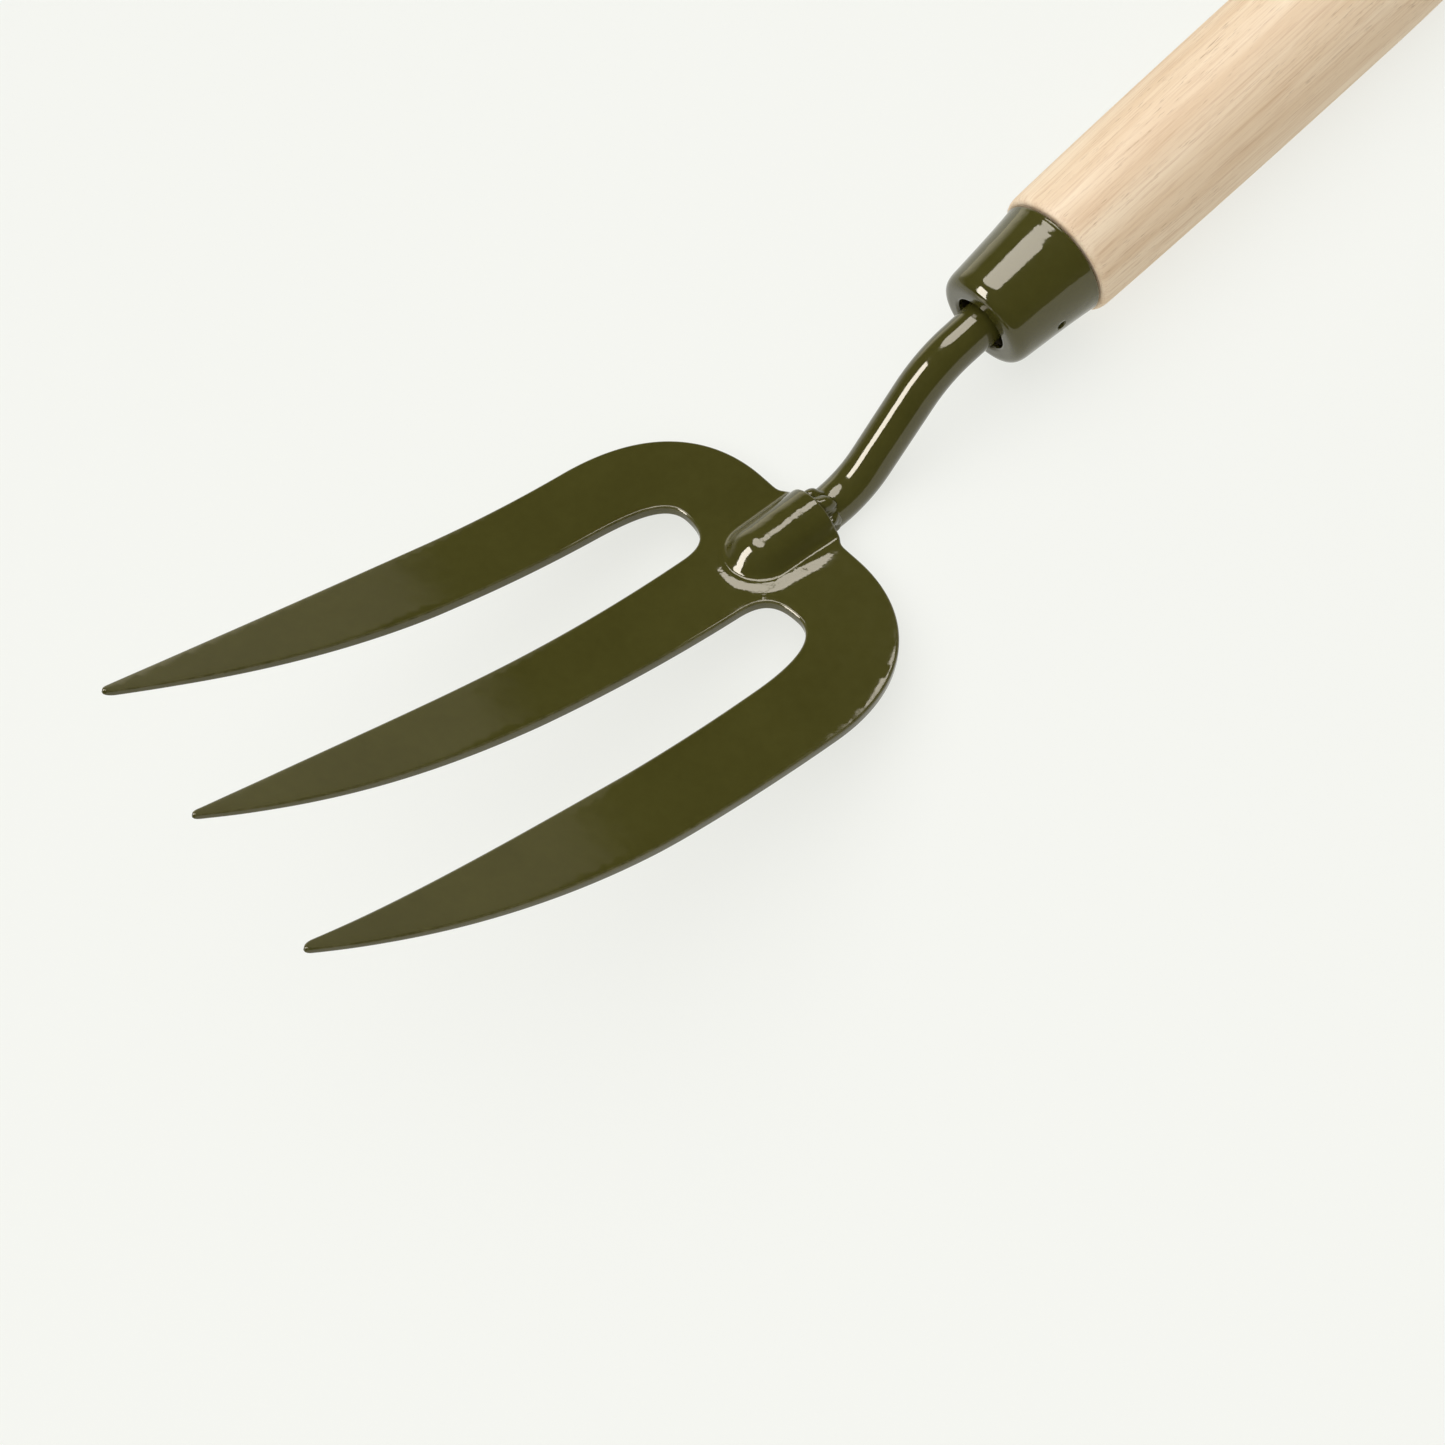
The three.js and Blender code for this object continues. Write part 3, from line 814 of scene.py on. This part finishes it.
def make_stage():
    turns = np.linspace(0, 2 * math.pi, STAGE_SIDES, endpoint=False)
    low = np.array([(FLOOR_RADIUS * math.sin(t), FLOOR_RADIUS * math.cos(t), 0) for t in turns])
    ground = mesh_object("floor", low, [tuple(range(STAGE_SIDES))], Matrix.Identity(4), smooth=False)
    ground.data.materials.append(floor_material())
    wall = mesh_object("backdrop", *skin([low, low + [0, 0, WALL_HEIGHT]], False), Matrix.Identity(4))
    wall.data.materials.append(backdrop_material())
    wall.visible_diffuse = False
    wall.visible_glossy = False
    wall.visible_shadow = False


def area_light(name, location, target, size, power, in_gloss, roll=0.0, shape="RECTANGLE"):
    """A flat light that looks at a target. It only shows in gloss, or only lights what is matt."""
    data = bpy.data.lights.new(name, "AREA")
    data.shape = shape
    data.size, data.size_y = size
    data.energy = power
    data.color = (1.0, 0.985, 0.97) if in_gloss else (1.0, 1.0, 1.0)
    light = bpy.data.objects.new(name, data)
    bpy.context.scene.collection.objects.link(light)
    towards = (Vector(target) - Vector(location)).to_track_quat("-Z", "Y").to_matrix().to_4x4()
    rolled = towards @ Matrix.Rotation(math.radians(roll), 4, "Z")
    light.matrix_world = Matrix.Translation(location) @ rolled
    light.visible_camera = False
    light.visible_diffuse = not in_gloss
    light.visible_glossy = in_gloss


def make_world():
    """A dark studio with soft glows low on the left and at the back."""
    world = bpy.data.worlds.new("studio")
    bpy.context.scene.world = world
    world.use_nodes = True
    tree = world.node_tree
    way = tree.nodes.new("ShaderNodeTexCoord").outputs["Generated"]
    split = tree.nodes.new("ShaderNodeSeparateXYZ")
    tree.links.new(way, split.inputs[0])

    def ranged(value, low, high, to_low, to_high):
        node = tree.nodes.new("ShaderNodeMapRange")
        node.interpolation_type = "SMOOTHSTEP"
        tree.links.new(value, node.inputs[0])
        for i, number in enumerate((low, high, to_low, to_high)):
            node.inputs[i + 1].default_value = number
        return node.outputs[0]

    def combined(operation, a, b):
        node = tree.nodes.new("ShaderNodeMath")
        node.operation = operation
        tree.links.new(a, node.inputs[0])
        tree.links.new(b, node.inputs[1])
        return node.outputs[0]

    def glow(direction, spread, strength, low, high):
        """Light round a level direction, which fades out between two heights."""
        facing = tree.nodes.new("ShaderNodeVectorMath")
        facing.operation = "DOT_PRODUCT"
        facing.inputs[1].default_value = direction
        tree.links.new(way, facing.inputs[0])
        wide = ranged(facing.outputs["Value"], spread, 0.96, 0.0, strength)
        return combined("MULTIPLY", wide, ranged(split.outputs["Z"], low, high, 1.0, 0.0))

    left = glow((-0.92, 0.39, 0.0), 0.88, 0.9, 0.10, 0.50)
    side = glow((-1.0, -0.1, 0.0), 0.80, 0.35, 0.10, 0.40)
    back = glow((-0.62, 0.78, 0.0), 0.45, 0.42, 0.37, 0.43)
    rest = ranged(split.outputs["Z"], 0.0, 0.3, 0.12, 0.04)
    total = combined("ADD", combined("ADD", left, back), combined("ADD", side, rest))
    background = tree.nodes["Background"]
    background.inputs["Color"].default_value = (1.0, 0.96, 0.80, 1)
    tree.links.new(total, background.inputs["Strength"])


def make_lights():
    """Two panels for the even light, and softboxes for the highlights."""
    top, back, front = (-0.60, 0.72, 2.05), (-0.56, 1.55, 2.01), (-0.66, -1.12, 1.57)
    area_light("overhead", (-0.28, -0.10, 1.80), (0, 0, 0), (3.2, 3.2), 61, in_gloss=False)
    area_light("top_box", top, (*top[:2], 0.0), (1.70, 0.98), 27, in_gloss=True, shape="ELLIPSE")
    area_light("back_box", back, (*back[:2], 0.0), (0.72, 0.68), 10.0, in_gloss=True)
    area_light("fill", (0.95, -0.45, 0.85), (0.0, 0.1, 0.02), (1.2, 1.2), 3.4, in_gloss=False)
    area_light("front_box", front, (0.0, -0.02, 0.03), (0.80, 1.84), 68, in_gloss=True, roll=24)


# ---- Assembly ----

paint = enamel()
fork_head(paint)
neck_rod(paint)
weld_over_neck(paint)
weld_beside_neck(paint, -1, "weld_left_bead", "weld_left")
weld_beside_neck(paint, 1, "weld_right_bead", "weld_right")
ferrule(paint)
cross_pin(steel())
handle(wood())
make_stage()
make_world()
make_lights()
bpy.context.scene.view_settings.view_transform = "Standard"
